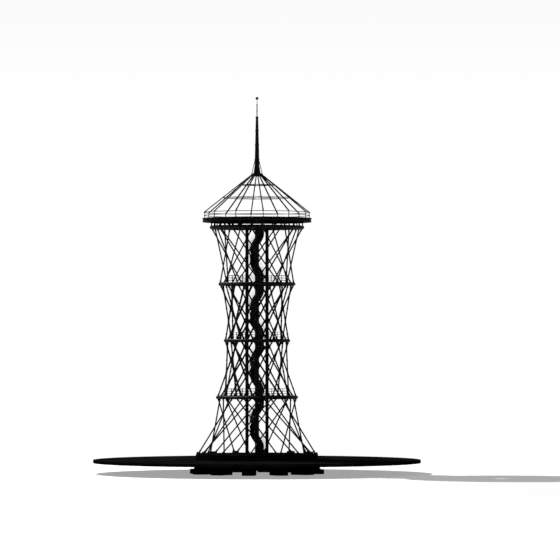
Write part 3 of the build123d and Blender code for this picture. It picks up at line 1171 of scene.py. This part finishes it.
# A foot plate on each post, and a pair of clips at each rail
def addPostDress(shape, radius, floorTop, railLevels):
    clip = railClips
    size = (clip["width"], clip["thickness"], clip["height"])
    addBoltedPlate(shape, radius, floorTop, railingFeet)
    for level in railLevels:
        for side in (-1, 1):
            seat = at(radius - clip["inward"], side * (clip["gap"] + clip["thickness"] / 2), level)
            addBox(shape, size, seat, clip["chamfer"])
            start, end = side * clip["boltStart"], side * clip["boltEnd"]
            addRod(shape, (radius, start, level), (radius, end, level), clip["boltRadius"], 6)


def makeRailingFittings(tier):
    facts, top = platformRailings, platformTops[tier]
    radius = (facts["circles"][tier] + facts["railHalf"]) * math.cos(math.radians(halfBay))
    spacing = facts["height"] / facts["rails"]
    railLevels = [top + spacing * (rail + 1) - facts["railHalf"] for rail in range(facts["rails"])]
    dress = template(lambda shape: addPostDress(shape, radius + facts["postOffset"], top, railLevels))
    makePiece(f"railingFittings{tier + 1}", railing, [copies(dress, bays, railing)])


for tier in range(len(platformTops)):
    makeRailingFittings(tier)
print("platform railings dressed")

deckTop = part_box("deck_floor")[1].z
beamLow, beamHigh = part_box("deck_beams")[0].z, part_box("deck_beams")[1].z
deckPostPlates = {
    "plate": 0.126,
    "thickness": 0.010,
    "chamfer": 0.002,
    "bolts": 0.051,
    "boltRadius": 0.006,
    "boltHeight": 0.008,
}


# Deck posts and beams stand in pairs, one on each side of a bay line
def bothSides(build):
    return [copies(template(build), bays, steel, side * footAngle) for side in (-1, 1)]


# A plate at the foot and at the head of each deck post, on both shells
def addPostPlates(shape):
    for radius in (tower["outer"][-1], tower["inner"][-1]):
        addBoltedPlate(shape, radius, levels[-1] + ringPipes["radius"], deckPostPlates)
        addBoltedPlate(shape, radius, beamLow, deckPostPlates, -1)


makePiece("deckPostPlates", steel, bothSides(addPostPlates))

beamFlanges = {"width": 0.110, "thickness": 0.012, "inner": 0.76, "outer": 3.96, "chamfer": 0.002}
beamStiffeners = {"beamHalf": 0.03, "width": 0.022, "thickness": 0.010, "radii": (1.6, 2.4, 3.2, 3.65)}


def addBeamDress(shape):
    flange, stiffener = beamFlanges, beamStiffeners
    length, thickness = flange["outer"] - flange["inner"], flange["thickness"]
    middle = (flange["outer"] + flange["inner"]) / 2
    for level in (beamLow + thickness / 2, beamHigh - thickness / 2):
        addBox(shape, (length, flange["width"], thickness), at(middle, 0, level), flange["chamfer"])
    size = (stiffener["thickness"], stiffener["width"], beamHigh - beamLow - 2 * thickness)
    away = stiffener["beamHalf"] + stiffener["width"] / 2
    for radius in stiffener["radii"]:
        for side in (-1, 1):
            addBox(shape, size, at(radius, side * away, (beamLow + beamHigh) / 2))


makePiece("deckBeamFlanges", steel, bothSides(addBeamDress))

edgeStiffeners = {
    "count": 36,
    "start": 5.0,
    "circle": 4.290,
    "depth": 0.048,
    "thickness": 0.010,
    "low": 0.034,
    "high": 0.236,
    "chamfer": 0.001,
}


# Web plates in the throat of the channel round the deck
def addEdgeStiffener(shape):
    stiffener = edgeStiffeners
    face = stiffener["circle"] * math.cos(math.radians(stiffener["start"]))
    height = stiffener["high"] - stiffener["low"]
    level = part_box("deck_edge")[0].z + stiffener["low"] + height / 2
    seat = at(face + stiffener["depth"] / 2, 0, level)
    addBox(shape, (stiffener["depth"], stiffener["thickness"], height), seat, stiffener["chamfer"])


stiffener = template(addEdgeStiffener)
stiffeners = copies(stiffener, edgeStiffeners["count"], steel, edgeStiffeners["start"])
makePiece("deckEdgeStiffeners", steel, [stiffeners])
print("deck dressed")

deckRailingFeet = {
    "circle": 4.21,
    "flatAngle": 7.5,
    "outward": 0.025,
    "plate": 0.11,
    "thickness": 0.012,
    "chamfer": 0.002,
    "bolts": 0.04,
    "boltRadius": 0.008,
    "boltHeight": 0.010,
}
middleRailClips = {
    "size": (0.075, 0.008, 0.055),
    "inward": 0.02,
    "offset": 0.029,
    "rise": 0.2165,
    "chamfer": 0.001,
}


def addDeckPostDress(shape):
    foot, clip = deckRailingFeet, middleRailClips
    radius = foot["circle"] * math.cos(math.radians(foot["flatAngle"])) + foot["outward"]
    addBoltedPlate(shape, radius, deckTop, foot)
    for side in (-1, 1):
        seat = at(radius - clip["inward"], side * clip["offset"], deckTop + clip["rise"])
        addBox(shape, clip["size"], seat, clip["chamfer"])


makePiece("deckRailingFittings", railing, [copies(template(addDeckPostDress), bays, railing, footAngle)])

# The cage's ribs lean from the eaves to the hub. A distance along a rib is counted from the eaves.
cage = {"eavesRadius": 4.222, "hubRadius": 0.453, "height": 2.977, "eavesRise": 0.458, "ribWidth": 0.08}
ribRun = Vector((cage["hubRadius"] - cage["eavesRadius"], 0, cage["height"])).normalized()
ribOut = Vector((ribRun.z, 0, -ribRun.x))


def onRib(distance):
    return Vector((cage["eavesRadius"], 0, deckTop + cage["eavesRise"])) + ribRun * distance


def ribFrame(distance):
    across = Vector((0, 1, 0))
    spin = Matrix((ribRun, across, ribOut)).transposed().to_4x4()
    return Matrix.Translation(onRib(distance)) @ spin


ribStraps = {"count": 4, "first": 1.20, "spacing": 0.85, "length": 0.10, "grow": 0.006, "chamfer": 0.004}
eavesGussets = {
    "distance": 0.19,
    "length": 0.26,
    "height": 0.07,
    "thickness": 0.012,
    "chamfer": 0.002,
    "bolts": (-0.07, 0.0, 0.07),
    "boltRadius": 0.009,
    "boltHeight": 0.008,
}


def addRibDress(shape):
    strap, gusset = ribStraps, eavesGussets
    width = cage["ribWidth"] + 2 * strap["grow"]
    size = (strap["length"], width, width)
    for k in range(strap["count"]):
        addBox(shape, size, ribFrame(strap["first"] + k * strap["spacing"]), strap["chamfer"])
    centre = ribFrame(gusset["distance"])
    face = cage["ribWidth"] / 2
    for side in (-1, 1):
        seat = centre @ at(0, side * (face + gusset["thickness"] / 2), 0)
        addBox(shape, (gusset["length"], gusset["thickness"], gusset["height"]), seat, gusset["chamfer"])
        for along in gusset["bolts"]:
            spot = centre @ Vector((along, side * (face + gusset["thickness"]), 0))
            addHexBolt(shape, spot, (0, side, 0), gusset["boltRadius"], gusset["boltHeight"])


makePiece("roofRibFittings", steel, [copies(template(addRibDress), bays, steel, footAngle)])

purlinCleats = {
    "radii": (2.751, 1.455),
    "purlinHalf": 0.02,
    "length": 0.085,
    "thickness": 0.008,
    "height": 0.060,
    "chamfer": 0.001,
}


# Two cleats hold each end of a purlin to its rib
def addCleats(shape):
    facts = purlinCleats
    size = (facts["thickness"], facts["length"], facts["height"])
    for radius in facts["radii"]:
        spot = onRib((cage["eavesRadius"] - radius) / -ribRun.x)
        for side in (-1, 1):
            seat = at(spot.x, side * cage["ribWidth"] / 2, spot.z) @ turned(-side * halfBay)
            for face in (-1, 1):
                out = face * (facts["purlinHalf"] + facts["thickness"] / 2)
                cleat = seat @ at(out, side * facts["length"] / 2, 0)
                addBox(shape, size, cleat, facts["chamfer"])


makePiece("purlinCleats", steel, [copies(template(addCleats), bays, steel, footAngle)])

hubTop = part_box("roof_hub")[1].z
hubCap = {
    "radius": 0.435,
    "thickness": 0.022,
    "chamfer": 0.004,
    "segments": 96,
    "bolts": 24,
    "boltCircle": 0.40,
    "boltRadius": 0.014,
    "boltHeight": 0.014,
}


def addHubCap(shape):
    cap = hubCap
    top = hubTop + cap["thickness"]
    addDisc(shape, cap["radius"], hubTop, top, cap["chamfer"], cap["segments"])
    for k in range(cap["bolts"]):
        spot = polar(cap["boltCircle"], k * 360 / cap["bolts"], top)
        addHexBolt(shape, spot, (0, 0, 1), cap["boltRadius"], cap["boltHeight"])


makePiece("hubCap", steel, [template(addHubCap)], sharp=30.0)

mastTaper = {"foot": 0.202, "head": 0.095, "height": 4.527}
mastFlanges = {
    "rises": (0.0, 1.12, 2.26, 3.40, 4.47),
    "over": 0.034,
    "height": 0.044,
    "chamfer": 0.003,
    "segments": 64,
    "bolts": 12,
    "boltEdge": 0.016,
    "boltRadius": 0.010,
    "boltHeight": 0.016,
}


# Flange joints between the mast's lengths
def addMastFlanges(shape):
    taper, flange = mastTaper, mastFlanges
    for rise in flange["rises"]:
        face = taper["foot"] + (taper["head"] - taper["foot"]) * rise / taper["height"]
        radius = face / math.cos(math.radians(halfBay)) + flange["over"]
        low = hubTop + rise
        addDisc(shape, radius, low, low + flange["height"], flange["chamfer"], flange["segments"])
        for k in range(flange["bolts"]):
            spot = polar(radius - flange["boltEdge"], k * 360 / flange["bolts"], low + flange["height"])
            addHexBolt(shape, spot, (0, 0, 1), flange["boltRadius"], flange["boltHeight"])


makePiece("mastFlanges", steel, [template(addMastFlanges)], sharp=30.0)

strutFeet = {"count": 6, "radius": 0.383, "plate": 0.12, "thickness": 0.012, "chamfer": 0.002}


def addStrutFoot(shape):
    foot = strutFeet
    size = (foot["plate"], foot["plate"], foot["thickness"])
    level = hubTop + hubCap["thickness"] + foot["thickness"] / 2
    addBox(shape, size, at(foot["radius"], 0, level), foot["chamfer"])


feet = copies(template(addStrutFoot), strutFeet["count"], steel, footAngle)
makePiece("strutFeet", steel, [feet])

rodCollars = {"rises": (0.0, 0.50, 0.96), "radius": 0.062, "height": 0.045, "chamfer": 0.004, "segments": 48}


def addRodCollars(shape):
    collar = rodCollars
    for rise in collar["rises"]:
        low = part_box("mast_rod")[0].z + rise
        addDisc(shape, collar["radius"], low, low + collar["height"], collar["chamfer"], collar["segments"])


makePiece("rodCollars", steel, [template(addRodCollars)], sharp=30.0)

finialBall = {"radius": 0.119, "neck": 0.034, "steps": 24, "segments": 64}


def addFinial(shape):
    ball = finialBall
    low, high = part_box("finial")
    middle = (low.z + high.z) / 2
    first = math.asin(ball["neck"] / ball["radius"])
    profile = []
    for k in range(ball["steps"] + 1):
        turn = first + (math.pi - 2 * first) * k / ball["steps"]
        profile.append((ball["radius"] * math.sin(turn), middle - ball["radius"] * math.cos(turn)))
    addLathe(shape, profile, ball["segments"])


makePiece("finialBall", steel, [template(addFinial)], ["finial"], 30.0)
print("roof cage and mast dressed")
